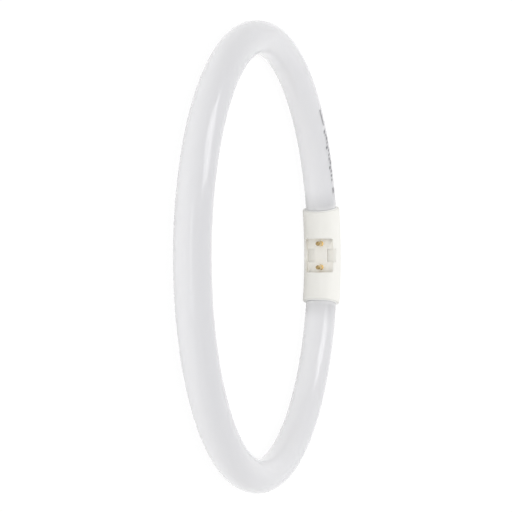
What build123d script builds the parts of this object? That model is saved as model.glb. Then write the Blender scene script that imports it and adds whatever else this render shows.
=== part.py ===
from build123d import *
import math
import os

# Circular LED lamp: a sealed milky glass ring whose two ends meet inside one
# moulded plastic cap. The cap has a recess on the side that faces the ring's
# centre, with two brass contact pins and a keyway between them for the
# lampholder. A small driver board sits behind the recess, between the ends
# of the ring.
#
# Frame: the origin is the centre of the ring, the ring lies flat in the XY
# plane, and the cap sits at +X. Sizes inside the cap are measured from the
# tube's own centreline at the cap: "out" is positive away from the ring's
# centre, and "in" is towards it. All sizes are millimetres, angles degrees.

# Ring
ring_outer_diameter = 225.0
tube_diameter = 16.2
tube_end_round = 1.6

# Cap, two half shells round the ends of the ring
cap_wall = 1.65
bore_clearance = 0.15
cap_end_round = 0.7
tube_insertion = 13.0
seam_groove = 0.25

# Lap joint and snap noses that hold the two shells together
tongue_thickness = 0.75
tongue_height = 0.9
tongue_end_gap = 1.6
lap_clearance = 0.1
nose_length = 4.0
nose_reach = 0.3
nose_arc_position = 18.0

# Soft ring under each end of the glass, and the rib that it rests on
cushion_thickness = 1.0
cushion_bore = 9.2
cushion_side_gap = 0.25
stop_rib_height = 2.2
stop_rib_thickness = 0.8
stop_rib_gap = 0.3

# Recess for the lampholder
pocket_length = 18.0
pocket_width = 14.6
pocket_corner = 0.8
pocket_rim_round = 0.3
pocket_floor_in = 3.5
floor_thickness = 1.5
pocket_end_wall = 1.4

# Keyway across the recess: two wells beside a bridge, and a ledge to each side
key_width = 7.0
key_bridge = 6.9
key_well_depth = 1.9
key_well_wall = 1.2
key_ledge_in = 4.44
key_corner = 0.4

# Contact pins
pin_diameter = 2.35
pin_spacing = 12.7
pin_height = 7.1
pin_tip_round = 0.85
shank_diameter = 2.9
shank_clearance = 0.03
pin_flange_diameter = 4.0
pin_flange_thickness = 0.6
pin_tail_diameter = 1.2
pin_tail_above_board = 0.8

# Driver board on four posts behind the recess
board_length = 20.0
board_thickness = 1.0
board_side_gap = 0.5
board_gap_over_wells = 0.6
board_hole_clearance = 0.1
post_diameter = 1.6
post_edge_gap = 1.4

# Parts on the board
part_gap = 0.6
lead_size = 0.4
rectifier_leads_a_side = 2
chip_leads_a_side = 4
lead_reach = 0.7
rectifier_size = (4.6, 3.4, 2.4)
chip_size = (4.9, 3.4, 1.5)
choke_size = (4.4, 4.4, 3.0)
choke_corner = 0.9
capacitor_diameter = 5.0
capacitor_length = 9.0
capacitor_groove = 0.35
resistor_diameter = 2.2
resistor_length = 4.0
resistor_waist = 0.25
tail_width = 3.0
tail_thickness = 0.3
tail_lap = 1.4

# Small overlap where two shapes of one moulding are joined
fuse = 0.3

# How near a curve must run to the cap's skin to count as lying on it
skin_tolerance = 0.01

# Worked out from the sizes above
tube_radius = tube_diameter / 2
ring_radius = ring_outer_diameter / 2 - tube_radius
bore_radius = tube_radius + bore_clearance
cap_radius = bore_radius + cap_wall
bay_half_length = max(pocket_length / 2 + pocket_end_wall, board_length / 2) + stop_rib_gap
tube_end_arc = bay_half_length + stop_rib_thickness + cushion_thickness
tongue_radius = bore_radius + tongue_thickness
floor_underside = floor_thickness - pocket_floor_in
well_bottom = key_well_depth - pocket_floor_in
well_underside = well_bottom + key_well_wall
board_underside = well_underside + board_gap_over_wells
board_top = board_underside + board_thickness
pin_offset = pin_spacing / 2


def arc_angle(arc_length):
    """Angle about the ring's axis of an arc along the tube's centreline."""
    return math.degrees(arc_length / ring_radius)


tube_end_angle = arc_angle(tube_end_arc)
cap_half_angle = arc_angle(tube_end_arc + tube_insertion)


def ring_arc(section_radius, start, sweep):
    """Round bar bent to the ring's centreline, from one angle over a sweep."""
    section = Plane.XZ * Pos(ring_radius, 0) * Circle(section_radius)
    return Rot(0, 0, start) * revolve(section, Axis.Z, sweep)


def ring_sleeve(outer_radius, inner_radius, start, sweep):
    """Tube bent to the ring's centreline, from one angle over a sweep."""
    section = Plane.XZ * Pos(ring_radius, 0) * (Circle(outer_radius) - Circle(inner_radius))
    return Rot(0, 0, start) * revolve(section, Axis.Z, sweep)


def inside_radius(offset):
    """Everything nearer the ring's axis than the centreline plus an offset."""
    return Cylinder(ring_radius + offset, 4 * cap_radius)


def block(out_low, out_high, y_low, y_high, z_low, z_high):
    """Box at the cap, given by its limits out from the tube's centreline."""
    centre = Pos(
        ring_radius + (out_low + out_high) / 2,
        (y_low + y_high) / 2,
        (z_low + z_high) / 2,
    )
    return centre * Box(out_high - out_low, y_high - y_low, z_high - z_low)


def rounded_block(out_low, out_high, length, width, corner, z_centre=0.0):
    """Block whose four edges that run out from the ring's centre are round."""
    outline = Plane.YZ * Pos(0, z_centre) * RectangleRounded(length, width, corner)
    return Pos(ring_radius + out_low, 0, 0) * extrude(outline, out_high - out_low)


def round_bar(diameter, out_low, out_high, y, z):
    """Bar that points out from the ring's centre."""
    outline = Plane.YZ * Pos(y, z) * Circle(diameter / 2)
    return Pos(ring_radius + out_low, 0, 0) * extrude(outline, out_high - out_low)


def end_edges(solid):
    """Edges of the flat ends of a bent bar."""
    return ShapeList(e for f in solid.faces().filter_by(GeomType.PLANE) for e in f.edges())


def on_cap_skin(edge):
    """Whether an edge runs along the cap's round outer surface."""
    points = [edge @ (step / 8) for step in range(9)]
    return all(
        abs(math.hypot(math.hypot(p.X, p.Y) - ring_radius, p.Z) - cap_radius) < skin_tolerance
        for p in points
    )


def bore_half_width(out, y):
    """Half the width of the cap's bore at a height out from the centreline."""
    sag = ring_radius - math.sqrt(ring_radius**2 - y**2)
    return math.sqrt(bore_radius**2 - (out + sag) ** 2)


def milky_tube():
    """Sealed ring of milky glass, open only by the gap inside the cap."""
    tube = ring_arc(tube_radius, tube_end_angle, 360 - 2 * tube_end_angle)
    return fillet(end_edges(tube), tube_end_round)


def snap_noses(grow):
    """Four noses on the tongue, two above and two below the tube."""
    noses = []
    middle = -tongue_height / 2
    half_height = tongue_height / 4 + grow
    reach = tongue_radius + nose_reach + grow
    sweep = arc_angle(nose_length + 2 * grow)
    for side in (1, -1):
        profile = Polygon(
            (ring_radius + middle - half_height, side * (tongue_radius - tongue_thickness / 2)),
            (ring_radius + middle - half_height, side * tongue_radius),
            (ring_radius + middle, side * reach),
            (ring_radius + middle + half_height, side * tongue_radius),
            (ring_radius + middle + half_height, side * (tongue_radius - tongue_thickness / 2)),
            align=None,
        )
        for end in (1, -1):
            start = end * arc_angle(nose_arc_position) - sweep / 2
            noses.append(Rot(0, 0, start) * revolve(Plane.XZ * profile, Axis.Z, sweep))
    return noses


def tongue(grow):
    """Thin wall of the outer shell that laps inside the inner shell."""
    half = cap_half_angle - arc_angle(tongue_end_gap - grow)
    wall = ring_sleeve(tongue_radius + grow, bore_radius - grow, -half, 2 * half)
    return wall & (inside_radius(grow) - inside_radius(-tongue_height - grow))


def end_cushion(side):
    """Silicone ring between an end of the glass and the cap's stop rib."""
    sweep = arc_angle(cushion_thickness)
    start = side * (tube_end_angle - sweep / 2) - sweep / 2
    return ring_sleeve(bore_radius - cushion_side_gap, cushion_bore / 2, start, sweep)


def stop_ribs():
    """Two ribs inside the cap that carry the ends of the glass ring."""
    near = tube_end_angle - arc_angle(cushion_thickness + stop_rib_thickness)
    sweep = arc_angle(stop_rib_thickness)
    low = bore_radius - stop_rib_height
    return [ring_sleeve(bore_radius + fuse, low, start, sweep) for start in (near, -near - sweep)]


def cap_sleeve():
    """Both shells as one, with rounded ends and the bore for the ring."""
    envelope = ring_arc(cap_radius, -cap_half_angle, 2 * cap_half_angle)
    envelope = fillet(end_edges(envelope), cap_end_round)
    overrun = cap_half_angle + 1
    sleeve = envelope - ring_arc(bore_radius, -overrun, 2 * overrun)
    for side in (1, -1):
        groove = Plane.XZ * Polygon(
            (ring_radius, side * (cap_radius - seam_groove)),
            (ring_radius - 2 * seam_groove, side * (cap_radius + seam_groove)),
            (ring_radius + 2 * seam_groove, side * (cap_radius + seam_groove)),
            align=None,
        )
        sleeve -= Rot(0, 0, -overrun) * revolve(groove, Axis.Z, 2 * overrun)
    return sleeve


def cap_outer_shell():
    """Back half of the cap, away from the ring's centre."""
    shell = cap_sleeve() - inside_radius(0)
    for rib in stop_ribs():
        shell += rib - inside_radius(0)
    shell += tongue(0)
    for nose in snap_noses(0):
        shell += nose
    return shell


def recess_housing():
    """Solid block behind the recess, before the recess is cut into it."""
    half_length = pocket_length / 2 + pocket_end_wall
    body = block(-cap_radius, floor_underside, -half_length, half_length, -cap_radius, cap_radius)
    half_key = key_width / 2 + key_well_wall
    bridge = key_bridge / 2 - key_well_wall
    for side in (1, -1):
        low, high = sorted((side * bridge, side * cap_radius))
        body += block(floor_underside - fuse, well_underside, -half_key, half_key, low, high)
    overrun = cap_half_angle + 1
    return body & ring_arc(bore_radius + fuse, -overrun, 2 * overrun)


def recess_cut():
    """Everything the mould leaves open for the lampholder."""
    reach = 2 * cap_radius
    pocket = rounded_block(-reach, -pocket_floor_in, pocket_length, pocket_width, pocket_corner)
    ledges = rounded_block(-reach, -key_ledge_in, key_width, reach * 2, key_corner)
    cut = pocket + ledges
    well_width = (pocket_width - key_bridge) / 2
    well_centre = (pocket_width + key_bridge) / 4
    for side in (1, -1):
        cut += rounded_block(
            -pocket_floor_in - fuse, well_bottom, key_width, well_width, key_corner, side * well_centre
        )
    return cut


def recess_rim(shell):
    """Edges where the recess opens through the cap's skin."""
    reach_y = pocket_length / 2 + fuse
    reach_z = cap_radius - 2 * seam_groove
    return [
        edge for edge in shell.edges()
        if on_cap_skin(edge) and abs(edge.center().Y) < reach_y and abs(edge.center().Z) < reach_z
    ]


def cap_inner_shell():
    """Front half of the cap, with the recess, its keyway and the board's posts."""
    shell = cap_sleeve() & inside_radius(0)
    for rib in stop_ribs():
        shell += rib & inside_radius(0)
    shell += recess_housing()
    shell -= tongue(lap_clearance)
    for nose in snap_noses(lap_clearance):
        shell -= nose
    shell -= recess_cut()
    shell = fillet(recess_rim(shell), pocket_rim_round)
    post_y = board_length / 2 - post_edge_gap
    post_z = bore_half_width(board_underside, post_y) - board_side_gap - post_edge_gap
    for y in (post_y, -post_y):
        for z in (post_z, -post_z):
            shell += round_bar(post_diameter, floor_underside - fuse, board_underside, y, z)
    for y in (pin_offset, -pin_offset):
        hole = shank_diameter + 2 * shank_clearance
        shell -= round_bar(hole, -pocket_floor_in - fuse, floor_underside + fuse, y, 0)
    return shell


def contact_pin(y):
    """Turned brass pin: domed tip, shank in the floor, flange and solder tail."""
    floor = -pocket_floor_in
    tip = floor - pin_height
    pin = round_bar(pin_diameter, tip, floor, y, 0)
    pin = fillet(pin.edges().sort_by(Axis.X)[0], pin_tip_round)
    pin += round_bar(shank_diameter, floor, floor_underside, y, 0)
    flange_top = floor_underside + pin_flange_thickness
    pin += round_bar(pin_flange_diameter, floor_underside, flange_top, y, 0)
    pin += round_bar(pin_tail_diameter, flange_top, board_top + pin_tail_above_board, y, 0)
    return pin


def driver_board():
    """Circuit board with a hole for each pin's tail."""
    half_width = bore_half_width(board_top, board_length / 2) - board_side_gap
    half_length = board_length / 2
    board = block(board_underside, board_top, -half_length, half_length, -half_width, half_width)
    for y in (pin_offset, -pin_offset):
        hole = pin_tail_diameter + 2 * board_hole_clearance
        board -= round_bar(hole, board_underside - fuse, board_top + fuse, y, 0)
    return board


def leaded_package(size, y, z, leads):
    """Moulded package on the board with a row of feet along each long side."""
    length, width, height = size
    standing = lead_size / 2
    body = block(
        board_top + standing, board_top + height,
        y - length / 2, y + length / 2, z - width / 2, z + width / 2,
    )
    body = chamfer(body.faces().sort_by(Axis.X)[-1].edges(), lead_size)
    pitch = length / leads
    for row in range(leads):
        foot_y = y + (row - (leads - 1) / 2) * pitch
        body += block(
            board_top, board_top + height / 2,
            foot_y - lead_size / 2, foot_y + lead_size / 2,
            z - width / 2 - lead_reach, z + width / 2 + lead_reach,
        )
    return body


def bridge_rectifier():
    """Four-lead rectifier beside the lower pin."""
    length, width, _ = rectifier_size
    y = part_gap + length / 2 - board_length / 2
    z = tail_width / 2 + part_gap + lead_reach + width / 2
    return leaded_package(rectifier_size, y, z, rectifier_leads_a_side)


def driver_chip():
    """Eight-lead driver chip beside the upper pin."""
    length, width, _ = chip_size
    y = pin_offset
    z = tail_width / 2 + part_gap + lead_reach + width / 2
    return leaded_package(chip_size, y, z, chip_leads_a_side)


def choke():
    """Shielded square choke between the rectifier and the chip."""
    length, width, height = choke_size
    body = rounded_block(board_top, board_top + height, length, width, choke_corner)
    y = pin_offset - chip_size[0] / 2 - part_gap - length / 2
    z = part_gap / 2 + width / 2
    return Pos(0, y, z) * body


def smoothing_capacitor():
    """Can capacitor that lies along the board, with its crimped groove."""
    radius = capacitor_diameter / 2
    groove = capacitor_groove
    neck = capacitor_length / 2 - 4 * groove
    outline = Polyline(
        (0, -capacitor_length / 2),
        (radius, -capacitor_length / 2),
        (radius, neck - groove),
        (radius - groove, neck),
        (radius, neck + groove),
        (radius, capacitor_length / 2),
        (0, capacitor_length / 2),
        close=True,
    )
    can = revolve(make_face(outline), Axis.Y)
    return Pos(ring_radius + board_top + radius, 0, -part_gap / 2 - radius) * can


def fuse_resistor():
    """Fusible resistor across the board beside the lower pin, on its two leads."""
    radius = resistor_diameter / 2
    waist = radius - resistor_waist
    half = resistor_length / 2
    bulge = half / 2
    outline = Polyline(
        (0, -half), (radius, -half), (radius, -bulge), (waist, -bulge),
        (waist, bulge), (radius, bulge), (radius, half), (0, half),
        close=True,
    )
    body = Rot(90, 0, 0) * revolve(make_face(outline), Axis.Y)
    y = part_gap + radius - board_length / 2
    z = -tail_width / 2 - part_gap - half
    return Pos(ring_radius + board_top + radius, y, z) * body


def strip_tail(side, tube):
    """End of the light strip, from the glass ring's end onto the board."""
    near, far = board_length / 2 - tail_lap, ring_radius * math.sin(math.radians(tube_end_angle))
    y_low, y_high = sorted((side * near, side * (far + tube_end_round)))
    strip = block(board_top, board_top + tail_thickness, y_low, y_high, -tail_width / 2, tail_width / 2)
    return strip - tube


glass = milky_tube()
nodes = {
    "milky_tube": glass,
    "cap_inner_shell": cap_inner_shell(),
    "cap_outer_shell": cap_outer_shell(),
    "end_cushion_upper": end_cushion(1),
    "end_cushion_lower": end_cushion(-1),
    "contact_pin_upper": contact_pin(pin_offset),
    "contact_pin_lower": contact_pin(-pin_offset),
    "driver_board": driver_board(),
    "bridge_rectifier": bridge_rectifier(),
    "driver_chip": driver_chip(),
    "choke": choke(),
    "smoothing_capacitor": smoothing_capacitor(),
    "fuse_resistor": fuse_resistor(),
    "strip_tail_upper": strip_tail(1, glass),
    "strip_tail_lower": strip_tail(-1, glass),
}

os.makedirs("parts", exist_ok=True)
for name, shape in nodes.items():
    export_step(shape, f"parts/{name}.step")
    print(name, round(shape.volume, 1), "mm3")
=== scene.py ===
# %% [markdown]
# # A circular LED tube
#
# The lamp is a ring of milky glass whose two ends meet inside one short plastic
# cap. The cap has a keyed recess on the side that faces the ring's centre, with
# two brass contact pins in it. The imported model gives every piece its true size
# and place, in metres. This script gives the pieces smooth skins, finishes, light
# and a camera.
#
# The ring lies flat at the origin with its axis along Z. The cap is at +X.

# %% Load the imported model
import math

import bmesh
import bpy
from mathutils import Matrix, Vector


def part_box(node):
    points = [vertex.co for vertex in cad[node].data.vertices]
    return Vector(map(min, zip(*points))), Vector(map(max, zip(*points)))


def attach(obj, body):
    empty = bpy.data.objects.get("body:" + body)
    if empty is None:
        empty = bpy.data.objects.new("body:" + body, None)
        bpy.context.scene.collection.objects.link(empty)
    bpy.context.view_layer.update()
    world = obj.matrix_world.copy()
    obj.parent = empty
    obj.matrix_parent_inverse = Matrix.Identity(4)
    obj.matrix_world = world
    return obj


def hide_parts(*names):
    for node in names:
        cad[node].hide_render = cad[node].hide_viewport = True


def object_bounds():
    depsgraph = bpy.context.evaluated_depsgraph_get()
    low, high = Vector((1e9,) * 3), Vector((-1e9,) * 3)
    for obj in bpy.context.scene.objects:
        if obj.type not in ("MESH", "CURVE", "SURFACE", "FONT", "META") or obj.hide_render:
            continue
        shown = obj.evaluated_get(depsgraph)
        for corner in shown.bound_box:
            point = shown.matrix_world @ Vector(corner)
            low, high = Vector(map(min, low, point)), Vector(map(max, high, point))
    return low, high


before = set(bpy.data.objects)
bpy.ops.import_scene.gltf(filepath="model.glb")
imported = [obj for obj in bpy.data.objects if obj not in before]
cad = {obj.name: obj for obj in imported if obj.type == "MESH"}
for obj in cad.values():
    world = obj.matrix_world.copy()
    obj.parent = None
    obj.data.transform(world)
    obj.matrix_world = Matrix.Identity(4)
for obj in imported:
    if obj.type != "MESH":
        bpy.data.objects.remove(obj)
scene = bpy.context.scene
size_at_start = [list(corner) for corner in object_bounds()]
print("nodes in the packed model:", len(cad))
print("whole lamp from", size_at_start[0], "to", size_at_start[1])

# %% [markdown]
# ## Measures
#
# The same few sizes place everything here, so they are named once. Two of them can
# be checked against the model: the ring's reach, and the thickness of its tube.

# %% Measures of the lamp, in metres
MM = 0.001
TUBE_RADIUS = 8.1 * MM
CAP_RADIUS = 9.9 * MM
RING_RADIUS = 104.4 * MM
CAP_HALF_ARC = 25.5 * MM
GLASS_END_ARC = 12.5 * MM
GLASS_END_ROUND = 1.6 * MM
BEAD_RADIUS = 0.4 * MM

tube_low, tube_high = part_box("milky_tube")
tube_thickness = tube_high[2] - tube_low[2]
print("ring reach, here and in the model:", RING_RADIUS + TUBE_RADIUS, round(tube_high[1], 5))
print("tube thickness, here and in the model:", 2 * TUBE_RADIUS, round(tube_thickness, 5))

# %% [markdown]
# ## Camera
#
# The outline of a ring tells almost everything about the camera that saw it: how
# far away it stood, how long its lens was and how far it stood above the ring's
# plane. The lamp lies flat here, and the camera is low over the floor and turned
# on its side, so that the ring stands upright in the picture with its cap to the
# right. The lens shift puts the ring's centre where it belongs in the frame. The
# camera could also be aimed by hand, but angles and a distance with names are
# easier to check and to change.

# %% Camera
CAMERA_DISTANCE = 777.7 * MM
CAMERA_HEIGHT_ANGLE = math.radians(17.11)
CAMERA_TURN = math.radians(-0.42)
CAMERA_LENS = 113.98
CAMERA_SENSOR_WIDTH = 36
CAMERA_SHIFT = (-0.0191, 0.0016)
CAMERA_NEAREST = 0.01
CAMERA_FARTHEST = 50


def new_object(name, data):
    """An object in the scene for a mesh, a lamp or a camera."""
    made = bpy.data.objects.new(name, data)
    scene.collection.objects.link(made)
    return made


turn = Matrix.Rotation(CAMERA_TURN, 3, "Z")
to_camera = turn @ Vector((-math.cos(CAMERA_HEIGHT_ANGLE), 0, math.sin(CAMERA_HEIGHT_ANGLE)))
picture_up = turn @ Vector((0, 1, 0))
picture_right = picture_up.cross(to_camera)

camera_data = bpy.data.cameras.new("camera")
camera_data.lens = CAMERA_LENS
camera_data.sensor_width = CAMERA_SENSOR_WIDTH
camera_data.shift_x, camera_data.shift_y = CAMERA_SHIFT
camera_data.clip_start = CAMERA_NEAREST
camera_data.clip_end = CAMERA_FARTHEST
camera = new_object("camera", camera_data)
axes = Matrix((picture_right, picture_up, to_camera)).transposed()
camera.matrix_world = Matrix.Translation(to_camera * CAMERA_DISTANCE) @ axes.to_4x4()
scene.camera = camera
print("camera at", [round(c, 4) for c in camera.location])

# %% [markdown]
# ## Tools for node trees
#
# A node tree is easier to read when each of its nodes is made, filled in and
# joined to others in one line. The first helper below does that: it takes a value
# or another node's output for each input. A tree of Geometry Nodes needs an object
# to work on, so another helper hangs it on an empty mesh, sets its named inputs,
# and keeps the result as a plain mesh that is ready to be finished.

# %% Helpers that add nodes to a tree
def add_node(tree, kind, values=None, **settings):
    """Makes a node, sets its options, and fills its inputs with values or outputs."""
    node = tree.nodes.new(kind)
    for name, value in settings.items():
        setattr(node, name, value)
    for name, value in (values or {}).items():
        if isinstance(value, bpy.types.NodeSocket):
            tree.links.new(value, node.inputs[name])
        else:
            node.inputs[name].default_value = value
    return node


def calculate(tree, operation, *values):
    """A math node's result."""
    values = dict(enumerate(values))
    return add_node(tree, "ShaderNodeMath", values, operation=operation).outputs[0]


# %% Helpers that begin and end a tree of Geometry Nodes
def shape_tree(name, inputs):
    """An empty geometry tree with named inputs, and the node that hands them out."""
    tree = bpy.data.node_groups.new(name, "GeometryNodeTree")
    tree.is_modifier = True
    tree.interface.new_socket("Geometry", in_out="OUTPUT", socket_type="NodeSocketGeometry")
    for label, kind in inputs.items():
        tree.interface.new_socket(label, in_out="INPUT", socket_type="NodeSocket" + kind)
    return tree, tree.nodes.new("NodeGroupInput")


def end_tree(tree, geometry, material):
    """Real geometry with its material, as the tree's result."""
    real = add_node(tree, "GeometryNodeRealizeInstances", {"Geometry": geometry})
    dressed = add_node(tree, "GeometryNodeSetMaterial", {
        "Geometry": real.outputs[0], "Material": material,
    })
    smooth = add_node(tree, "GeometryNodeSetShadeSmooth", {"Geometry": dressed.outputs[0]})
    tree.links.new(smooth.outputs[0], tree.nodes.new("NodeGroupOutput").inputs["Geometry"])


# %% Helpers that keep and measure a tree's result
def kept_mesh(holder, name):
    """The mesh that an object's modifiers give, once the object itself is gone."""
    seen = holder.evaluated_get(bpy.context.evaluated_depsgraph_get())
    mesh = bpy.data.meshes.new_from_object(seen)
    mesh.name = name
    bpy.data.objects.remove(holder)
    return mesh


def grow(name, tree, values, finishing=None):
    """Runs a tree with its inputs set, and keeps the result as a plain mesh."""
    holder = new_object(name + "_tree", bpy.data.meshes.new(name))
    modifier = holder.modifiers.new("shape", "NODES")
    modifier.node_group = tree
    for item in tree.interface.items_tree:
        if item.in_out == "INPUT" and item.name in values:
            modifier[item.identifier] = values[item.name]
    if finishing:
        finishing(holder)
    piece = new_object(name, kept_mesh(holder, name))
    print(name, "has", len(piece.data.polygons), "faces")
    return piece


def volume_mm3(piece):
    """Enclosed volume, which is below zero when the faces point inwards."""
    shape = bmesh.new()
    shape.from_mesh(piece.data)
    volume = shape.calc_volume(signed=True)
    shape.free()
    return volume / MM**3


# %% [markdown]
# ## Shader groups
#
# Moulded plastic, glass and metal all show the same small things: a grain that
# the tool left, and faint marks from handling. The nodes for them could be copied
# into every material, but then each change would have to be made many times. So
# each effect is a group, and every material takes it with its own values.

# %% Shader group helpers
def effect_group(name, inputs, outputs):
    """A shader group with named inputs and outputs, and its two end nodes."""
    group = bpy.data.node_groups.new(name, "ShaderNodeTree")
    for label, (kind, value) in inputs.items():
        socket = group.interface.new_socket(label, in_out="INPUT", socket_type="NodeSocket" + kind)
        if value is not None:
            socket.default_value = value
    for label, kind in outputs.items():
        group.interface.new_socket(label, in_out="OUTPUT", socket_type="NodeSocket" + kind)
    return group, group.nodes.new("NodeGroupInput"), group.nodes.new("NodeGroupOutput")


def mix_colours(tree, share, first, second):
    """A colour between two colours. A Mix node has sockets for every kind of value,
    and these are the ones for colours."""
    node = add_node(tree, "ShaderNodeMix", data_type="RGBA")
    share_socket, first_socket, second_socket = node.inputs[0], node.inputs[6], node.inputs[7]
    for socket, value in ((share_socket, share), (first_socket, first), (second_socket, second)):
        if isinstance(value, bpy.types.NodeSocket):
            tree.links.new(value, socket)
        else:
            socket.default_value = value
    return node.outputs[2]


def remap(tree, value, from_range, to_range, curve="LINEAR"):
    """A value moved from one range to another, and kept inside it."""
    numbers = {"From Min": from_range[0], "From Max": from_range[1]}
    numbers.update({"To Min": to_range[0], "To Max": to_range[1], "Value": value})
    return add_node(tree, "ShaderNodeMapRange", numbers, interpolation_type=curve).outputs[0]


def length_of(tree, first, second):
    """Length of the long side of a right triangle."""
    squares = [calculate(tree, "MULTIPLY", side, side) for side in (first, second)]
    return calculate(tree, "SQRT", calculate(tree, "ADD", *squares))


def object_place(tree):
    """The point's place on the object, as one vector."""
    return add_node(tree, "ShaderNodeTexCoord").outputs["Object"]


# %% Group: fine grain of a moulded or blasted surface
grain, grain_in, grain_out = effect_group(
    "fine grain", {"Size": ("Float", 0.6 * MM)}, {"Height": "Float"},
)
grain_scale = calculate(grain, "DIVIDE", 1.0, grain_in.outputs["Size"])
grain_noise = add_node(grain, "ShaderNodeTexNoise", {
    "Vector": object_place(grain), "Scale": grain_scale, "Detail": 3.0, "Roughness": 0.6,
})
grain.links.new(grain_noise.outputs["Fac"], grain_out.inputs["Height"])
print("made group", grain.name)

# %% Group: faint handling marks, as a change of roughness and of tone
PATCH_RANGE = (0.35, 0.7)
PATCH_MIDDLE = 0.5
marks, marks_in, marks_out = effect_group(
    "handling marks",
    {
        "Size": ("Float", 20 * MM), "Roughness": ("Float", 0.4), "Spread": ("Float", 0.06),
        "Colour": ("Color", None), "Dust": ("Color", None), "Amount": ("Float", 0.1),
    },
    {"Colour": "Color", "Roughness": "Float"},
)
handed = marks_in.outputs
marks_scale = calculate(marks, "DIVIDE", 1.0, handed["Size"])
marks_noise = add_node(marks, "ShaderNodeTexNoise", {
    "Vector": object_place(marks), "Scale": marks_scale,
    "Detail": 5.0, "Roughness": 0.62, "Distortion": 0.6,
})
patch = remap(marks, marks_noise.outputs["Fac"], PATCH_RANGE, (0.0, 1.0))
above_middle = calculate(marks, "SUBTRACT", patch, PATCH_MIDDLE)
rougher = calculate(marks, "MULTIPLY", above_middle, handed["Spread"])
marks.links.new(
    calculate(marks, "ADD", handed["Roughness"], rougher), marks_out.inputs["Roughness"],
)
dust_share = calculate(marks, "MULTIPLY", patch, handed["Amount"])
marks.links.new(
    mix_colours(marks, dust_share, handed["Colour"], handed["Dust"]), marks_out.inputs["Colour"],
)
print("made group", marks.name)

# %% [markdown]
# ## Finishes
#
# Each finish starts the same way: a Principled shader whose colour and roughness
# come through the handling marks, and whose bump comes from the grain. What is
# special to a finish is added afterwards. The last helper lays one more colour
# over those that a finish has so far, where a mask is one.

# %% Helpers that start a finish and paint on it
def finish(name, colour, roughness, grain_size=0.6 * MM, grain_depth=0.0, marks_size=20 * MM,
           spread=0.06, dust=None, amount=0.0, **shader_values):
    """A material with its shader, and the group that holds its colour."""
    material = bpy.data.materials.new(name)
    material.use_nodes = True
    tree = material.node_tree
    shader = tree.nodes["Principled BSDF"]
    handled = add_node(tree, "ShaderNodeGroup", node_tree=marks)
    handled.inputs["Size"].default_value = marks_size
    handled.inputs["Roughness"].default_value = roughness
    handled.inputs["Spread"].default_value = spread
    handled.inputs["Amount"].default_value = amount
    handled.inputs["Colour"].default_value = (*colour, 1)
    handled.inputs["Dust"].default_value = (*(dust or colour), 1)
    tree.links.new(handled.outputs["Colour"], shader.inputs["Base Color"])
    tree.links.new(handled.outputs["Roughness"], shader.inputs["Roughness"])
    if grain_depth:
        textured = add_node(tree, "ShaderNodeGroup", node_tree=grain)
        textured.inputs["Size"].default_value = grain_size
        add_bump(tree, shader, textured.outputs["Height"], 1.0, grain_depth)
    for label, value in shader_values.items():
        shader.inputs[label.replace("_", " ")].default_value = value
    return material, tree, shader, handled


def add_bump(tree, shader, height, strength, depth):
    """Makes a surface look raised where a height is large."""
    bump = add_node(tree, "ShaderNodeBump", {
        "Height": height, "Strength": strength, "Distance": depth,
    })
    tree.links.new(bump.outputs["Normal"], shader.inputs["Normal"])


def paint(tree, handled, mask, colour):
    """Another colour where a mask is one, over the colours so far."""
    socket = handled.inputs["Colour"]
    below = socket.links[0].from_socket if socket.is_linked else tuple(socket.default_value)
    tree.links.new(mix_colours(tree, mask, below, (*colour, 1)), socket)


# %% [markdown]
# ### Milky glass
#
# The ring is glass with a white coat inside, so light goes in a little way and
# comes back out all round the tube. That is why it looks so even, with no dark
# side. Clear glass over a white inner tube would also give it, but takes far longer
# to render. Subsurface scattering is enough, and a smooth skin over it gives the
# narrow streaks of reflected light. The light strip lies along the top of the
# tube, and a band of painted shade over it makes the glass greyer and cooler there.
# Close to the cap, painted shade darkens the glass, since no light enters the part
# that the cap covers, and painted light makes the last few millimetres paler again,
# where the white cap and its bead would throw light back. These changes follow the
# place on the ring: the angle round the tube, and the arc along it. So one helper
# works those out from the point's coordinates.

# %% Helpers that tell where a point is, on the object and on the ring
def coordinates(tree):
    """The point's X, Y and Z on the object."""
    return add_node(tree, "ShaderNodeSeparateXYZ", {0: object_place(tree)}).outputs


def ring_place(tree):
    """Angle along the ring from the cap, angle round the tube from its outer side, and
    distance from the tube's centre line."""
    x, y, z = coordinates(tree)
    outwards = calculate(tree, "SUBTRACT", length_of(tree, x, y), RING_RADIUS)
    along = calculate(tree, "ABSOLUTE", calculate(tree, "ARCTAN2", y, x))
    return along, calculate(tree, "ARCTAN2", z, outwards), length_of(tree, outwards, z)


# %% Milky glass, with a band of painted shade over the light strip
MILK = (0.863, 0.862, 0.872)
MILK_IN_PAINTED_SHADE = (0.676, 0.675, 0.691)
SHADE_BAND_ANGLE = math.radians(84)
SHADE_BAND_SPREAD = math.radians(150)
SOFT = "SMOOTHERSTEP"

milky_glass, tree, shader, handled = finish(
    "milky_glass", MILK, roughness=0.16, marks_size=35 * MM, spread=0.05,
    Subsurface_Weight=1.0, Subsurface_Scale=6 * MM, IOR=1.5,
)
shader.inputs["Subsurface Radius"].default_value = (1.0, 1.0, 1.0)
along, round_tube, _ = ring_place(tree)
# Painted shade: a greyer, cooler band of colour along the top of the tube.
past_shade_band = calculate(tree, "SUBTRACT", round_tube, SHADE_BAND_ANGLE)
from_shade_band = calculate(tree, "PINGPONG", past_shade_band, math.pi)
painted_top_shade = remap(tree, from_shade_band, (0.0, SHADE_BAND_SPREAD), (1.0, 0.0), SOFT)
paint(tree, handled, painted_top_shade, MILK_IN_PAINTED_SHADE)
print("milky glass, strip band centred at", round(math.degrees(SHADE_BAND_ANGLE)), "degrees")
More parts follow.
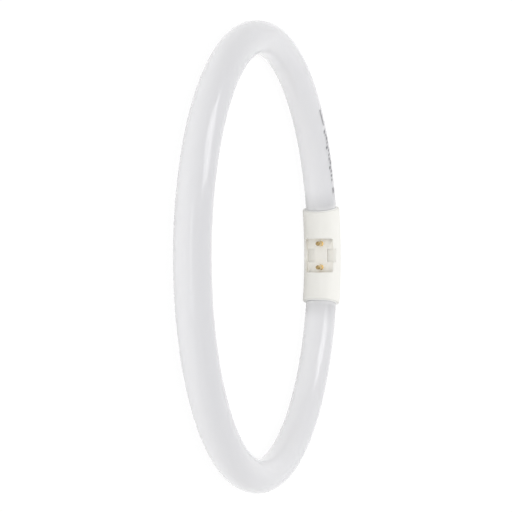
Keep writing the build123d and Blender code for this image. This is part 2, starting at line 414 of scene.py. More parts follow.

# %% Milky glass near the cap: painted shade, and painted light at the cap's mouths
NO_LIGHT = (0.0, 0.0, 0.0)
END_SHADE = 0.12
END_SHADE_REACH = 16 * MM
MILK_PAINTED_LIGHT_AT_MOUTH = (0.93, 0.93, 0.935)
MOUTH_REACH = 3.5 * MM
MOUTH_SHARE = 0.6
cap_end = CAP_HALF_ARC / RING_RADIUS
shade_end = cap_end + END_SHADE_REACH / RING_RADIUS
mouth_end = cap_end + MOUTH_REACH / RING_RADIUS
# Painted shade darkens the glass towards the cap; painted light makes the mouths paler.
painted_end_shade = remap(tree, along, (cap_end, shade_end), (END_SHADE, 0.0), SOFT)
paint(tree, handled, painted_end_shade, NO_LIGHT)
painted_light_at_mouth = remap(tree, along, (cap_end, mouth_end), (MOUTH_SHARE, 0.0), SOFT)
paint(tree, handled, painted_light_at_mouth, MILK_PAINTED_LIGHT_AT_MOUTH)
shade_angles = [round(math.degrees(angle), 1) for angle in (cap_end, shade_end)]
print("shade along the ring, in degrees from the cap's middle:", *shade_angles)

# %% [markdown]
# ### Cap plastic and ink
#
# The cap is warm white moulded plastic with the fine satin of a new mould. Hands
# and air leave a trace of dust on its skin. The faces that lie under the skin, in
# the recess and at the mouths, are painted lighter, as painted light against the
# shade that falls there. So the colour follows the depth under the skin. The
# plastic has no subsurface scattering: the cap is a thin shell, and light that
# wandered into it would be lost inside and leave its edges dark. The ink is a dark
# grey that is thinned by wear in places, which the handling marks can give on
# their own.

# %% Cap plastic
CAP_WHITE = (0.858, 0.849, 0.805)
CAP_WHITE_PAINTED_LIGHT = (0.925, 0.915, 0.875)
PAINTED_LIGHT_DEPTH = (0.3 * MM, 1.8 * MM)
cap_plastic, tree, _, handled = finish(
    "cap_plastic", CAP_WHITE, roughness=0.36, grain_size=0.35 * MM, grain_depth=0.006 * MM,
    marks_size=12 * MM, spread=0.08, dust=(0.83, 0.815, 0.77), amount=0.25,
)
# Painted light: faces under the skin, in the recess and at the mouths, are lighter.
from_centre_line = ring_place(tree)[2]
under_skin = calculate(tree, "SUBTRACT", CAP_RADIUS, from_centre_line)
painted_light_inside = remap(tree, under_skin, PAINTED_LIGHT_DEPTH, (0.0, 1.0), SOFT)
paint(tree, handled, painted_light_inside, CAP_WHITE_PAINTED_LIGHT)
print("made cap_plastic, clean from", round(PAINTED_LIGHT_DEPTH[1] / MM, 2), "mm under the skin")

# %% Ink of the print
print_ink = finish(
    "print_ink", (0.20, 0.205, 0.22), roughness=0.55, marks_size=1.5 * MM, spread=0.1,
    dust=(0.40, 0.40, 0.41), amount=0.8,
)[0]
print("made", print_ink.name)

# %% [markdown]
# ### Brass of the pins
#
# The pins are turned from brass bar, and the cutting tool leaves fine rings round
# their own axis, which is X. A sine along X gives those rings as a bump, which is
# enough for grooves that are thinner than a hair. Their tips carry painted shade,
# a darker colour that stands for a dark reflection, so the colour changes over the
# first millimetre from the tip. The model's own box of the pin says where that is.

# %% Brass of the pins
BRASS = (0.80, 0.62, 0.31)
BRASS_PAINTED_SHADE = (0.34, 0.25, 0.12)
SHADED_TIP_LENGTH = (0.4 * MM, 1.1 * MM)
TURNING_PITCH = 0.12 * MM
TURNING_DEPTH = 0.004 * MM
TURNING_STRENGTH = 0.35


def middle(node):
    """Centre of a node's box, and half its size, as the model gives them."""
    low, high = (Vector(corner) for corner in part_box(node))
    return (low + high) / 2, (high - low) / 2


pin_brass, tree, shader, handled = finish(
    "pin_brass", BRASS, roughness=0.2, marks_size=1.2 * MM, spread=0.12,
    dust=(0.60, 0.42, 0.17), amount=0.5, Metallic=1.0,
)
along_pin = coordinates(tree)["X"]
turns = calculate(tree, "MULTIPLY", along_pin, 2 * math.pi / TURNING_PITCH)
add_bump(tree, shader, calculate(tree, "SINE", turns), TURNING_STRENGTH, TURNING_DEPTH)
pin_middle, pin_half = middle("contact_pin_upper")
tip = pin_middle.x - pin_half.x
shaded_tip_places = [tip + length for length in SHADED_TIP_LENGTH]
# Painted shade: the tip's first millimetre is darker, standing for a dark reflection.
painted_tip_shade = remap(tree, along_pin, shaded_tip_places, (1.0, 0.0), SOFT)
paint(tree, handled, painted_tip_shade, BRASS_PAINTED_SHADE)
print("made pin_brass with turned rings", round(TURNING_PITCH / MM, 2), "mm apart")

# %% [markdown]
# ### The pieces inside the cap
#
# These are seen only when the cap is opened: a small mains driver on a printed
# board. Each piece is one mesh, but the real one has several materials, such as a
# black package with tinned feet. So each finish marks its areas by their place:
# a mask is one inside an area and zero outside, and it picks the colour, the
# roughness and the bare metal there. The places come from the model's own boxes.

# %% Helpers that mark an area of a piece by its place
TIN = (0.78, 0.77, 0.75)
ALUMINIUM = (0.80, 0.80, 0.81)


def from_point(tree, point):
    """Distances from a point along X, Y and Z."""
    moved = add_node(tree, "ShaderNodeVectorMath", {
        0: object_place(tree), 1: tuple(point),
    }, operation="SUBTRACT")
    return add_node(tree, "ShaderNodeSeparateXYZ", {0: moved.outputs[0]}).outputs


def near(tree, value, target, reach):
    """One where a value is no farther than a reach from its target."""
    return calculate(tree, "COMPARE", value, target, reach)


def beyond(tree, value, reach):
    """One where a value is farther from zero than a reach."""
    return calculate(tree, "SUBTRACT", 1.0, near(tree, value, 0.0, reach))


def both(tree, first, second):
    """One where two masks are one."""
    return calculate(tree, "MULTIPLY", first, second)


def make_bare_metal(tree, shader, handled, mask, colour, roughness):
    """Bare metal where a mask is one."""
    paint(tree, handled, mask, colour)
    socket = handled.inputs["Roughness"]
    tree.links.new(remap(tree, mask, (0.0, 1.0), (socket.default_value, roughness)), socket)
    tree.links.new(mask, shader.inputs["Metallic"])


# %% [markdown]
# #### Cushions and beads
#
# Silicone holds the ends of the glass and seals the cap. It is white, soft and a
# little dull, and dust clings to it, so its roughness varies more than plastic's.

# %% Silicone of the two cushions and the beads
silicone = finish(
    "cushion_silicone", (0.92, 0.92, 0.90), roughness=0.5, grain_size=0.4 * MM,
    grain_depth=0.012 * MM, marks_size=4 * MM, spread=0.14, dust=(0.86, 0.855, 0.83), amount=0.3,
)[0]
print("made", silicone.name)

# %% [markdown]
# #### Driver board
#
# The board is a sheet of glass cloth and resin with copper areas on it, under a
# green mask that is lighter where copper lies below. A Brick Texture with a narrow
# mortar draws such areas. Its rows are shifted and every second one is stretched,
# so that it doesn't look like a wall. At the sawn edge the bare laminate shows,
# and each contact pin is soldered, so it has a ring of tin round it.

# %% Board: copper areas under the mask, and the bare edge
MASK_GREEN = (0.02, 0.13, 0.055)
MASK_OVER_COPPER = (0.045, 0.27, 0.10)
BARE_LAMINATE = (0.50, 0.45, 0.24)
COPPER_AREA = (4.3 * MM, 2.6 * MM)
COPPER_GAP = 0.35 * MM
BOARD_EDGE = 0.12 * MM
board_laminate, tree, shader, handled = finish(
    "board_laminate", MASK_GREEN, roughness=0.28, grain_size=0.25 * MM, grain_depth=0.006 * MM,
    marks_size=5 * MM, spread=0.12, dust=(0.05, 0.16, 0.08), amount=0.4,
)
board_middle, board_half = middle("driver_board")
_, y, z = from_point(tree, board_middle)
flat_place = add_node(tree, "ShaderNodeCombineXYZ", {"X": y, "Y": z})
areas = add_node(tree, "ShaderNodeTexBrick", {
    "Vector": flat_place.outputs[0], "Scale": 1.0, "Mortar Size": COPPER_GAP / 2,
    "Brick Width": COPPER_AREA[0], "Row Height": COPPER_AREA[1],
}, offset=0.37, squash=1.7, squash_frequency=2)
copper_below = calculate(tree, "SUBTRACT", 1.0, areas.outputs["Fac"])
paint(tree, handled, copper_below, MASK_OVER_COPPER)
at_side = beyond(tree, y, board_half.y - BOARD_EDGE)
at_end = beyond(tree, z, board_half.z - BOARD_EDGE)
paint(tree, handled, calculate(tree, "MAXIMUM", at_side, at_end), BARE_LAMINATE)
print("made board_laminate, copper areas in mm:", [round(size / MM, 2) for size in COPPER_AREA])

# %% Board: a ring of solder round each contact pin
SOLDER_RING = 1.35 * MM
pin_offset = pin_middle.y
sideways = calculate(tree, "SUBTRACT", calculate(tree, "ABSOLUTE", y), pin_offset)
soldered = near(tree, length_of(tree, sideways, z), 0.0, SOLDER_RING)
make_bare_metal(tree, shader, handled, soldered, TIN, roughness=0.3)
print("solder rings", round(pin_offset / MM, 2), "mm from the board's middle")

# %% [markdown]
# #### Rectifier and driver chip
#
# Both are moulded in black resin, and tinned feet stand out on two sides. The feet
# are what lies beyond the package's width. The chip carries a round dot that marks
# its first foot. The two pieces share the finish, because their packages are
# equally wide and stand in one line.

# %% Black packages with tinned feet, and a dot that marks the first foot
PACKAGE_HALF_WIDTH = 1.72 * MM
DOT_GREY = (0.16, 0.16, 0.16)
DOT_PLACE = (1.5 * MM, 0.9 * MM)  # Along Y and Z, from the chip's middle.
DOT_RADIUS = 0.28 * MM
package_black, tree, shader, handled = finish(
    "package_black", (0.022, 0.022, 0.024), roughness=0.48, grain_size=0.12 * MM,
    grain_depth=0.008 * MM, marks_size=1.5 * MM, spread=0.16, dust=(0.05, 0.05, 0.05), amount=0.5,
)
_, y, z = from_point(tree, middle("driver_chip")[0])
from_dot = length_of(
    tree,
    calculate(tree, "SUBTRACT", calculate(tree, "ABSOLUTE", y), DOT_PLACE[0]),
    calculate(tree, "SUBTRACT", z, DOT_PLACE[1]),
)
first_half = calculate(tree, "GREATER_THAN", y, 0.0)
dot = both(tree, near(tree, from_dot, 0.0, DOT_RADIUS), first_half)
paint(tree, handled, dot, DOT_GREY)
feet = beyond(tree, z, PACKAGE_HALF_WIDTH)
make_bare_metal(tree, shader, handled, feet, TIN, roughness=0.32)
print("made package_black with a dot of", round(2 * DOT_RADIUS / MM, 2), "mm")

# %% [markdown]
# #### Choke
#
# The choke is made of pressed ferrite powder, which is dark and grainy. A ring of
# brown resin seals the round core into its square frame, and a tinned terminal
# wraps round the foot of each end.

# %% Choke: ferrite with a ring of resin round its core, and a terminal at each end
RESIN_BROWN = (0.30, 0.16, 0.07)
CORE_RADIUS = 1.55 * MM
RESIN_WIDTH = 0.16 * MM
TERMINAL_WIDTH = 0.35 * MM
TERMINAL_HEIGHT = 0.8 * MM
choke_ferrite, tree, shader, handled = finish(
    "choke_ferrite", (0.075, 0.075, 0.08), roughness=0.6, grain_size=0.14 * MM,
    grain_depth=0.02 * MM, marks_size=1.2 * MM, spread=0.12, dust=(0.13, 0.125, 0.12), amount=0.7,
)
choke_middle, choke_half = middle("choke")
x, y, z = from_point(tree, choke_middle)
paint(tree, handled, near(tree, length_of(tree, y, z), CORE_RADIUS, RESIN_WIDTH), RESIN_BROWN)
low_down = calculate(tree, "LESS_THAN", x, TERMINAL_HEIGHT - choke_half.x)
at_ends = beyond(tree, y, choke_half.y - TERMINAL_WIDTH)
make_bare_metal(tree, shader, handled, both(tree, low_down, at_ends), TIN, roughness=0.3)
print("made choke_ferrite, terminals", round(TERMINAL_HEIGHT / MM, 2), "mm high")

# %% [markdown]
# #### Capacitor
#
# The capacitor is an aluminium can in a dark blue sleeve that is shrunk over its
# edges. The sleeve leaves a round window at each end: bare aluminium at the top
# and the rubber plug at the foot. A pale stripe shows the minus side, and its mask
# is an angle round the can.

# %% Capacitor: a shrunk sleeve with a pale stripe, a bare can end and a rubber plug
SLEEVE_LIP = 0.45 * MM
WINDOW_DEPTH = 0.05 * MM
STRIPE_PALE = (0.50, 0.53, 0.56)
STRIPE_ANGLE = math.radians(-55)
STRIPE_HALF_ANGLE = math.radians(24)
PLUG_RUBBER = (0.03, 0.028, 0.026)
capacitor_sleeve, tree, shader, handled = finish(
    "capacitor_sleeve", (0.02, 0.03, 0.075), roughness=0.24, grain_size=0.5 * MM,
    grain_depth=0.01 * MM, marks_size=3 * MM, spread=0.12, dust=(0.05, 0.06, 0.10), amount=0.4,
)
can_middle, can_half = middle("smoothing_capacitor")
x, y, z = from_point(tree, can_middle)
round_can = calculate(tree, "ARCTAN2", z, x)
paint(tree, handled, near(tree, round_can, STRIPE_ANGLE, STRIPE_HALF_ANGLE), STRIPE_PALE)
inside_lip = near(tree, length_of(tree, x, z), 0.0, can_half.z - SLEEVE_LIP)
at_foot = calculate(tree, "GREATER_THAN", y, can_half.y - WINDOW_DEPTH)
paint(tree, handled, both(tree, inside_lip, at_foot), PLUG_RUBBER)
at_top = calculate(tree, "LESS_THAN", y, WINDOW_DEPTH - can_half.y)
can_end = both(tree, inside_lip, at_top)
make_bare_metal(tree, shader, handled, can_end, ALUMINIUM, roughness=0.3)
print("made capacitor_sleeve with a lip of", round(SLEEVE_LIP / MM, 2), "mm")

# %% [markdown]
# #### Fuse resistor
#
# The resistor works as the fuse of the driver. Its coat is baked on, and four
# bands of colour tell its value. Each band is marked by its place along the body.

# %% Fuse resistor: a baked coat with four colour bands
BAND_HALF_WIDTH = 0.17 * MM
RESISTOR_BANDS = {
    -1.45 * MM: (0.18, 0.07, 0.03),
    -0.55 * MM: (0.015, 0.015, 0.015),
    0.2 * MM: (0.015, 0.015, 0.015),
    1.4 * MM: (0.55, 0.36, 0.10),
}
resistor_coat, tree, _, handled = finish(
    "resistor_coat", (0.20, 0.42, 0.38), roughness=0.34, grain_size=0.3 * MM,
    grain_depth=0.012 * MM, marks_size=1.2 * MM, spread=0.12, dust=(0.26, 0.46, 0.42), amount=0.6,
)
along_body = from_point(tree, middle("fuse_resistor")[0])["Z"]
for place, colour in RESISTOR_BANDS.items():
    paint(tree, handled, near(tree, along_body, place, BAND_HALF_WIDTH), colour)
print("made resistor_coat with", len(RESISTOR_BANDS), "bands")

# %% [markdown]
# #### Tails of the light strip
#
# The light strip is a film with two copper tracks, and its ends come out of the
# glass onto the board. A white cover hides most of the copper, so the tracks show
# only as two warmer lines. They are bare and tinned where they are soldered near
# the board's edge.

# %% Film of the strip's two tails: two copper tracks under a white cover
TRACK_TAN = (0.74, 0.66, 0.55)
TRACK_OFFSET = 0.8 * MM
TRACK_HALF_WIDTH = 0.38 * MM
SOLDER_FROM_EDGE = 0.7 * MM
SOLDER_HALF_LENGTH = 0.5 * MM
strip_film, tree, shader, handled = finish(
    "strip_film", (0.80, 0.79, 0.74), roughness=0.38, grain_size=0.3 * MM,
    grain_depth=0.008 * MM, marks_size=2 * MM, spread=0.1, dust=(0.70, 0.68, 0.62), amount=0.4,
)
across_film = calculate(tree, "ABSOLUTE", from_point(tree, middle("strip_tail_upper")[0])["Z"])
track = near(tree, across_film, TRACK_OFFSET, TRACK_HALF_WIDTH)
paint(tree, handled, track, TRACK_TAN)
from_middle = calculate(tree, "ABSOLUTE", coordinates(tree)["Y"])
on_board = near(tree, from_middle, board_half.y - SOLDER_FROM_EDGE, SOLDER_HALF_LENGTH)
make_bare_metal(tree, shader, handled, both(tree, track, on_board), TIN, roughness=0.3)
print("made strip_film, tracks", round(2 * TRACK_OFFSET / MM, 2), "mm apart")

# %% [markdown]
# ## The glass ring
#
# The ring's shape is one rule: a circle swept along an arc that stops short on
# each side of the cap. A torus with a piece cut out would give nearly the same, but
# the cut would leave ragged ends. So the mesh is grown by Geometry Nodes from an
# arc and a profile, with the sizes as the tree's inputs. A bevel then rounds the
# two ends, as the glass is rounded where it was cut and fire-polished.

# %% Tree of the glass ring
ring_tree, ring_in = shape_tree("glass ring", {
    "Ring radius": "Float", "Tube radius": "Float", "Gap half angle": "Float",
    "Steps along": "Int", "Steps round": "Int",
})
gap = ring_in.outputs["Gap half angle"]
whole_gap = calculate(ring_tree, "MULTIPLY", gap, 2.0)
spine = add_node(ring_tree, "GeometryNodeCurveArc", {
    "Resolution": ring_in.outputs["Steps along"],
    "Radius": ring_in.outputs["Ring radius"],
    "Start Angle": gap,
    "Sweep Angle": calculate(ring_tree, "SUBTRACT", 2 * math.pi, whole_gap),
})
section = add_node(ring_tree, "GeometryNodeCurvePrimitiveCircle", {
    "Resolution": ring_in.outputs["Steps round"], "Radius": ring_in.outputs["Tube radius"],
})
swept = add_node(ring_tree, "GeometryNodeCurveToMesh", {
    "Curve": spine.outputs["Curve"], "Profile Curve": section.outputs["Curve"], "Fill Caps": True,
})
end_tree(ring_tree, swept.outputs["Mesh"], milky_glass)
print("made tree", ring_tree.name)

# %% Grow the glass ring
GLASS_STEPS_ALONG = 480
GLASS_STEPS_ROUND = 72
ROUNDING_STEPS = 5
CUT_EDGE_ANGLE = math.radians(60)
WELD_DISTANCE = 0.001 * MM


def round_the_ends(holder):
    """Bevel on the sharp edges, which are only those of the two cut ends, and a weld of
    the corners that it leaves in one place."""
    bevel = holder.modifiers.new("fire polish", "BEVEL")
    bevel.width = GLASS_END_ROUND
    bevel.segments = ROUNDING_STEPS
    bevel.limit_method = "ANGLE"
    bevel.angle_limit = CUT_EDGE_ANGLE
    weld = holder.modifiers.new("one corner in each place", "WELD")
    weld.merge_threshold = WELD_DISTANCE


glass_ring = grow("glass_ring", ring_tree, {
    "Ring radius": RING_RADIUS, "Tube radius": TUBE_RADIUS,
    "Gap half angle": GLASS_END_ARC / RING_RADIUS,
    "Steps along": GLASS_STEPS_ALONG, "Steps round": GLASS_STEPS_ROUND,
}, round_the_ends)
print("glass ring encloses", round(volume_mm3(glass_ring)), "mm3")
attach(glass_ring, "root")
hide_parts("milky_tube")

# %% [markdown]
# ## The printed marks along the tube
#
# Plain marks are printed on the top of the tube near the cap: a long bar, a row of
# short blocks and one more bar. The blocks of the row differ in size and stand a
# little off the line. They could be painted on by the glass's own material, but as
# thin pieces they have crisp edges from any distance. Each block is a brick that
# is bent onto the tube: its length becomes an angle round the ring, its height an
# angle round the tube's section, and its thickness a height above the glass. The
# tree does the row and the bending, and it is used once for each run of blocks,
# with its own values.

# %% Tree of the printed marks: a row of bricks that differ a little
print_tree, print_in = shape_tree("printed marks", {
    "Count": "Int", "Pitch": "Float", "Length": "Float", "Height": "Float", "Ink": "Float",
    "Start angle": "Float", "Round angle": "Float", "Vary": "Float", "Scatter": "Float",
    "Seed": "Int",
})
LENGTH_DRAW, SIDE_DRAW, HEIGHT_DRAW = 0, 3, 7
source = print_in.outputs
step = add_node(print_tree, "ShaderNodeCombineXYZ", {"X": source["Pitch"]})
row = add_node(print_tree, "GeometryNodeMeshLine", {
    "Count": source["Count"], "Offset": step.outputs[0], "Start Location": (0, 0, 0),
})
brick = add_node(print_tree, "GeometryNodeMeshCube", {
    "Size": (1, 1, 1), "Vertices X": 7, "Vertices Y": 5, "Vertices Z": 2,
})
smallest = calculate(print_tree, "SUBTRACT", 1.0, source["Vary"])


def varied(size, draw):
    """A size that differs a little from one block to the next. Each kind of draw adds
    its own number to the seed. A Random Value node has sockets for every kind of value,
    and these are the ones for plain numbers."""
    seed = calculate(print_tree, "ADD", source["Seed"], float(draw))
    pick = add_node(print_tree, "FunctionNodeRandomValue", data_type="FLOAT")
    print_tree.links.new(smallest, pick.inputs[2])
    pick.inputs[3].default_value = 1.0
    print_tree.links.new(seed, pick.inputs["Seed"])
    return calculate(print_tree, "MULTIPLY", size, pick.outputs[1])


# %% Tree of the printed marks: each brick a little off the line
SIDE_RANGE = 2.0
SIDE_MIDDLE = 1.5
off_line = calculate(print_tree, "SUBTRACT", varied(SIDE_RANGE, SIDE_DRAW), SIDE_MIDDLE)
side_step = calculate(print_tree, "MULTIPLY", source["Scatter"], off_line)
scattered = add_node(print_tree, "GeometryNodeSetPosition", {
    "Geometry": row.outputs[0],
    "Offset": add_node(print_tree, "ShaderNodeCombineXYZ", {"Y": side_step}).outputs[0],
})
block_size = add_node(print_tree, "ShaderNodeCombineXYZ", {
    "X": varied(source["Length"], LENGTH_DRAW), "Y": varied(source["Height"], HEIGHT_DRAW),
    "Z": source["Ink"],
})
blocks = add_node(print_tree, "GeometryNodeInstanceOnPoints", {
    "Points": scattered.outputs[0], "Instance": brick.outputs["Mesh"],
    "Scale": block_size.outputs[0],
})
flat_blocks = add_node(print_tree, "GeometryNodeRealizeInstances", {"Geometry": blocks.outputs[0]})
print("made the row of", print_tree.name)

# %% Tree of the printed marks: the flat row bent onto the tube
here = print_tree.nodes.new("GeometryNodeInputPosition").outputs[0]
flat = add_node(print_tree, "ShaderNodeSeparateXYZ", {0: here}).outputs
along_ring = calculate(
    print_tree, "ADD", source["Start angle"],
    calculate(print_tree, "DIVIDE", flat["X"], RING_RADIUS))
round_tube = calculate(
    print_tree, "ADD", source["Round angle"],
    calculate(print_tree, "DIVIDE", flat["Y"], TUBE_RADIUS))
height = calculate(print_tree, "ADD", flat["Z"], TUBE_RADIUS)
outwards = calculate(print_tree, "MULTIPLY", height, calculate(print_tree, "COSINE", round_tube))
reach = calculate(print_tree, "ADD", RING_RADIUS, outwards)
bent = add_node(print_tree, "ShaderNodeCombineXYZ", {
    "X": calculate(print_tree, "MULTIPLY", reach, calculate(print_tree, "COSINE", along_ring)),
    "Y": calculate(print_tree, "MULTIPLY", reach, calculate(print_tree, "SINE", along_ring)),
    "Z": calculate(print_tree, "MULTIPLY", height, calculate(print_tree, "SINE", round_tube)),
})
bent_blocks = add_node(print_tree, "GeometryNodeSetPosition", {
    "Geometry": flat_blocks.outputs[0], "Position": bent.outputs[0],
})
end_tree(print_tree, bent_blocks.outputs[0], print_ink)
print("made tree", print_tree.name)

# %% Grow the printed marks
INK = 0.04 * MM
PRINT_ROUND_ANGLE = math.radians(98.5)
print_runs = {
    "print_row": {"Count": 13, "Pitch": -2.45 * MM, "Length": 2.0 * MM, "Height": 2.2 * MM,
                  "Start angle": math.radians(39.3), "Vary": 0.5, "Scatter": 1.6 * MM, "Seed": 4},
    "print_long_bar": {"Count": 1, "Pitch": MM, "Length": 10.6 * MM, "Height": 1.0 * MM,
                       "Start angle": math.radians(44.35), "Vary": 0.0, "Scatter": 0.0, "Seed": 0},
    "print_end_bar": {"Count": 1, "Pitch": MM, "Length": 3.1 * MM, "Height": 1.7 * MM,
                      "Start angle": math.radians(19.8), "Vary": 0.0, "Scatter": 0.0, "Seed": 0},
}
for name, values in print_runs.items():
    run = grow(name, print_tree, {**values, "Ink": INK, "Round angle": PRINT_ROUND_ANGLE})
    print(name, "encloses", round(volume_mm3(run), 3), "mm3")
    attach(run, "root")

# %% [markdown]
# ## The beads that seal the cap
#
# The glass slides into the cap with a hair of room round it, and a thin bead of
# silicone closes that gap at each mouth of the cap. Without the bead the gap would
# show as a dark line, and the lamp has none. A torus at each mouth would do, but the
# two have to stay alike. So one tree makes both: a bead is a small circle swept
# round a large one, set upright at the mouth, and turned about the ring's axis to
# where the cap ends.

# %% Tree of the sealing beads
LOOP_STEPS = 96
BEAD_STEPS = 12
bead_tree, bead_in = shape_tree("sealing beads", {
    "Ring radius": "Float", "Bead radius": "Float", "Loop radius": "Float", "Mouth angle": "Float",
})
loop = add_node(bead_tree, "GeometryNodeCurvePrimitiveCircle", {
    "Resolution": LOOP_STEPS, "Radius": bead_in.outputs["Loop radius"],
})
bead_section = add_node(bead_tree, "GeometryNodeCurvePrimitiveCircle", {
    "Resolution": BEAD_STEPS, "Radius": bead_in.outputs["Bead radius"],
})
bead = add_node(bead_tree, "GeometryNodeCurveToMesh", {
    "Curve": loop.outputs["Curve"], "Profile Curve": bead_section.outputs["Curve"],
})
to_ring = add_node(bead_tree, "ShaderNodeCombineXYZ", {"X": bead_in.outputs["Ring radius"]})
upright = add_node(bead_tree, "GeometryNodeTransform", {
    "Geometry": bead.outputs["Mesh"], "Rotation": (math.pi / 2, 0, 0),
    "Translation": to_ring.outputs[0],
})
both_beads = bead_tree.nodes.new("GeometryNodeJoinGeometry")
for side in (1.0, -1.0):
    side_angle = calculate(bead_tree, "MULTIPLY", bead_in.outputs["Mouth angle"], side)
    turned = add_node(bead_tree, "ShaderNodeCombineXYZ", {"Z": side_angle})
    placed = add_node(bead_tree, "GeometryNodeTransform", {
        "Geometry": upright.outputs["Geometry"], "Rotation": turned.outputs[0],
    })
    bead_tree.links.new(placed.outputs["Geometry"], both_beads.inputs[0])
end_tree(bead_tree, both_beads.outputs[0], silicone)
print("made tree", bead_tree.name)

# %% Grow the sealing beads
beads = grow("sealing_beads", bead_tree, {
    "Ring radius": RING_RADIUS, "Bead radius": BEAD_RADIUS,
    "Loop radius": TUBE_RADIUS + BEAD_RADIUS / 2, "Mouth angle": CAP_HALF_ARC / RING_RADIUS,
})
print("sealing beads enclose", round(volume_mm3(beads), 1), "mm3")
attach(beads, "root")

# %% [markdown]
# ## Cap, pins and the pieces inside
#
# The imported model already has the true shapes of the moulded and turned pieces,
# but as loose triangles, which shade as facets. The pieces could be modelled
# again, but a copy keeps every size. Once its corners are merged, it can be shaded
# smooth, with only its real edges kept sharp. A weighted normal then keeps its
# flat faces flat beside the round ones. It looks at the size of each face, so the
# triangles of a flat face are joined to one face before it, and cut into triangles
# again after it.

# %% Helper that merges the triangles of one of the model's pieces
MERGE_DISTANCE = 0.0002 * MM
FLAT_ANGLE = math.radians(0.05)


def merged_mesh(node, name):
    """The node's triangles with merged corners, and with each flat face in one."""
    shape = bmesh.new()
    shape.from_mesh(cad[node].data)
    bmesh.ops.remove_doubles(shape, verts=shape.verts, dist=MERGE_DISTANCE)
    bmesh.ops.dissolve_limit(
        shape, angle_limit=FLAT_ANGLE, verts=shape.verts, edges=shape.edges)
    merged = bpy.data.meshes.new(name + "_merged")
    shape.to_mesh(merged)
    shape.free()
    return merged


# %% Helper that makes a smooth copy of one of the model's pieces
SHARP_ANGLE = math.radians(32)
FLAT_FACE_WEIGHT = 80


def smooth_copy(node, name, material):
    """A merged, smooth-shaded copy that replaces one node of the model."""
    merged = merged_mesh(node, name)
    merged.shade_smooth()
    merged.set_sharp_from_angle(angle=SHARP_ANGLE)
    merged.materials.clear()
    merged.materials.append(material)
    holder = new_object(name + "_merged", merged)
    flat_faces_first = holder.modifiers.new("flat faces first", "WEIGHTED_NORMAL")
    flat_faces_first.keep_sharp = True
    flat_faces_first.weight = FLAT_FACE_WEIGHT
    triangles = holder.modifiers.new("triangles", "TRIANGULATE")
    triangles.keep_custom_normals = True
    piece = new_object(name, kept_mesh(holder, name))
    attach(piece, "root")
    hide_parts(node)
    print(name, "has", len(piece.data.vertices), "corners,", len(piece.data.polygons), "faces")


# %% Copy all fourteen pieces
smooth_copies = [
    ("cap_inner_shell", "cap_front", cap_plastic, "cap_plastic"),
    ("cap_outer_shell", "cap_back", cap_plastic, "cap_plastic"),
    ("contact_pin_upper", "pin_upper", pin_brass, "pin_brass"),
    ("contact_pin_lower", "pin_lower", pin_brass, "pin_brass"),
    ("end_cushion_upper", "cushion_upper", silicone, "cushion_silicone"),
    ("end_cushion_lower", "cushion_lower", silicone, "cushion_silicone"),
    ("driver_board", "board", board_laminate, "board_laminate"),
    ("bridge_rectifier", "rectifier_package", package_black, "package_black"),
    ("driver_chip", "chip_package", package_black, "package_black"),
    ("choke", "choke_body", choke_ferrite, "choke_ferrite"),
    ("smoothing_capacitor", "capacitor_can", capacitor_sleeve, "capacitor_sleeve"),
    ("fuse_resistor", "resistor_body", resistor_coat, "resistor_coat"),
    ("strip_tail_upper", "film_tail_upper", strip_film, "strip_film"),
    ("strip_tail_lower", "film_tail_lower", strip_film, "strip_film"),
]
for node, name, material, slot_name in smooth_copies:
    smooth_copy(node, name, material)

# %% [markdown]
# ## Floor, light and background
#
# The picture has a plain white background, and the ring leaves only a trace of a
# shadow. Stronger lamps could make the floor that white, but they would bleach the
# lamp as well. So what the camera sees, straight or mirrored in the glass and the
# pins, is mostly white paper with a glow of its own, and the rest of it is lit by
# the lamps and keeps the shadow. All other light meets a pale table, whose faint
# glow fills the underside of the ring.

# %% Floor
FLOOR_HALF = 4.0
floor_height = size_at_start[0][2]
floor_corners = [(-1, -1), (1, -1), (1, 1), (-1, 1)]
floor_mesh = bpy.data.meshes.new("floor")
floor_mesh.from_pydata(
    [(x * FLOOR_HALF, y * FLOOR_HALF, floor_height) for x, y in floor_corners],
    [], [(0, 1, 2, 3)],
)
floor = new_object("floor", floor_mesh)
print("floor at", round(floor_height, 5))


# %% Helpers for a surface that the camera sees in its own way
def seen_or_mirrored(tree):
    """One for what the camera sees, straight or in a shiny surface, and zero for all
    other light."""
    rays = tree.nodes.new("ShaderNodeLightPath").outputs
    straight_or_glossy = calculate(tree, "MAXIMUM", rays["Is Camera Ray"], rays["Is Glossy Ray"])
    return calculate(tree, "MAXIMUM", straight_or_glossy, rays["Is Transmission Ray"])


def end_with_mix(tree, share, first, second, output_kind):
    """A mix of two shaders, as the tree's surface."""
    mixed = add_node(tree, "ShaderNodeMixShader", {
        0: share, 1: first.outputs[0], 2: second.outputs[0],
    })
    tree.links.new(mixed.outputs[0], tree.nodes.new(output_kind).inputs["Surface"])


# %% White paper for the camera, and a pale table for all other light
WHITE = (1, 1, 1, 1)
TABLE_GREY = (0.85, 0.85, 0.85, 1)
PAPER_GLOW = 1.06
PAPER_SHARE = 0.88
TABLE_SHARE = 0.15
floor_white = bpy.data.materials.new("floor_white")
floor_white.use_nodes = True
tree = floor_white.node_tree
tree.nodes.clear()
lit = add_node(tree, "ShaderNodeBsdfDiffuse", {"Color": TABLE_GREY})
paper = add_node(tree, "ShaderNodeEmission", {"Color": WHITE, "Strength": PAPER_GLOW})
share = remap(tree, seen_or_mirrored(tree), (0.0, 1.0), (TABLE_SHARE, PAPER_SHARE))
end_with_mix(tree, share, lit, paper, "ShaderNodeOutputMaterial")
floor_mesh.materials.append(floor_white)
print("glowing share of the floor, for the camera and for other light:", PAPER_SHARE, TABLE_SHARE)

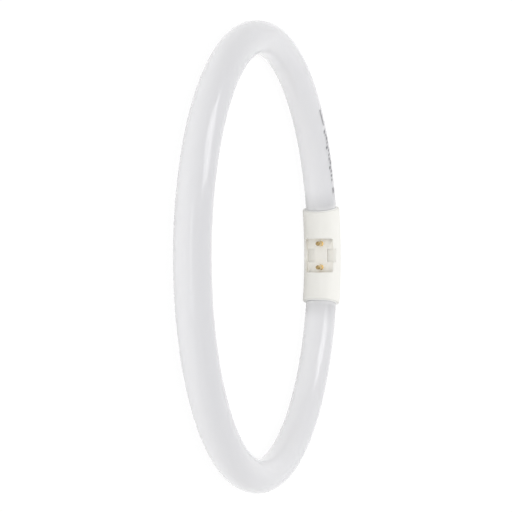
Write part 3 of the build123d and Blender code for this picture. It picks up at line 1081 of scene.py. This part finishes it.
# %% World: soft light all round, and white where the camera sees past the floor
WORLD_LIGHT = 0.6
BACKGROUND_LIGHT = 1.0
world = bpy.data.worlds.new("studio")
world.use_nodes = True
tree = world.node_tree
tree.nodes.clear()
soft = add_node(tree, "ShaderNodeBackground", {"Color": WHITE, "Strength": WORLD_LIGHT})
white = add_node(tree, "ShaderNodeBackground", {"Color": WHITE, "Strength": BACKGROUND_LIGHT})
end_with_mix(tree, seen_or_mirrored(tree), soft, white, "ShaderNodeOutputWorld")
scene.world = world
print("world light", WORLD_LIGHT)

# %% [markdown]
# ### Lamps
#
# The world gives most of the light, evenly from all sides, as a white room does.
# The lamps give it a direction. Those overhead and behind brighten the cap's side
# and the top of the tube, those in front light the recess and the side that faces
# the camera, and the low strip and the two end fills lift what faces down or
# lies at the ends of the ring. The streak lamp is seen only in reflections: it
# draws the narrow bright lines along the glass. The front strip draws a faint one.
# Each lamp is a soft rectangle, given by its direction, distance, width, length
# and brightness, and a lamp far away lights both sides of the ring alike.

# %% Lamps
def soft_lamp(name, direction, distance, width, length, brightness, mirrored=True, diffuse=True):
    """A rectangular lamp that faces the ring's centre, with its long side along Y."""
    data = bpy.data.lights.new(name, "AREA")
    data.shape = "RECTANGLE"
    data.size, data.size_y = width, length
    data.energy = brightness * math.pi * width * length
    lamp = new_object(name, data)
    back = Vector(direction).normalized()
    long_side = (Vector((0, 1, 0)) - back * back.y).normalized()
    turned = Matrix((long_side.cross(back), long_side, back)).transposed()
    lamp.matrix_world = Matrix.Translation(back * distance) @ turned.to_4x4()
    lamp.visible_glossy = mirrored
    lamp.visible_diffuse = diffuse
    print(name, "at", [round(c, 2) for c in lamp.location])


# Name, direction, distance, width, length and brightness.
soft_lamp("streak", (-0.15, 0.60, 0.79), 1.6, 0.85, 0.92, 3.5, diffuse=False)
soft_lamp("front strip", (-0.97, 0.0, 0.18), 3.2, 0.6, 3.0, 1.67)
soft_lamp("front fill", (-0.95, 0.0, 0.2), 3.2, 2.0, 2.0, 0.82, mirrored=False)
soft_lamp("low strip", (-1.0, 0.0, 0.04), 3.2, 0.24, 4.0, 2.78, mirrored=False)
soft_lamp("overhead", (0.1, 0.0, 1.0), 1.6, 1.4, 1.4, 1.44, mirrored=False)
soft_lamp("back fill", (0.75, 0.0, 0.66), 1.6, 1.4, 1.4, 1.12, mirrored=False)
soft_lamp("upper fill", (0.0, 0.95, 0.3), 1.6, 1.0, 1.0, 0.23, mirrored=False)
soft_lamp("lower fill", (0.0, -0.95, 0.3), 1.6, 1.0, 1.0, 0.23, mirrored=False)

# %% [markdown]
# ## Picture
#
# The Standard view shows each colour about as it is written. White plastic in a
# deep recess gets its light by many bounces from wall to wall, so twelve of them
# are followed.

# %% Picture settings
MOST_BOUNCES = 12
scene.view_settings.view_transform = "Standard"
scene.cycles.use_denoising = True
scene.cycles.max_bounces = MOST_BOUNCES
print("view", scene.view_settings.view_transform, "with", scene.cycles.max_bounces, "bounces")
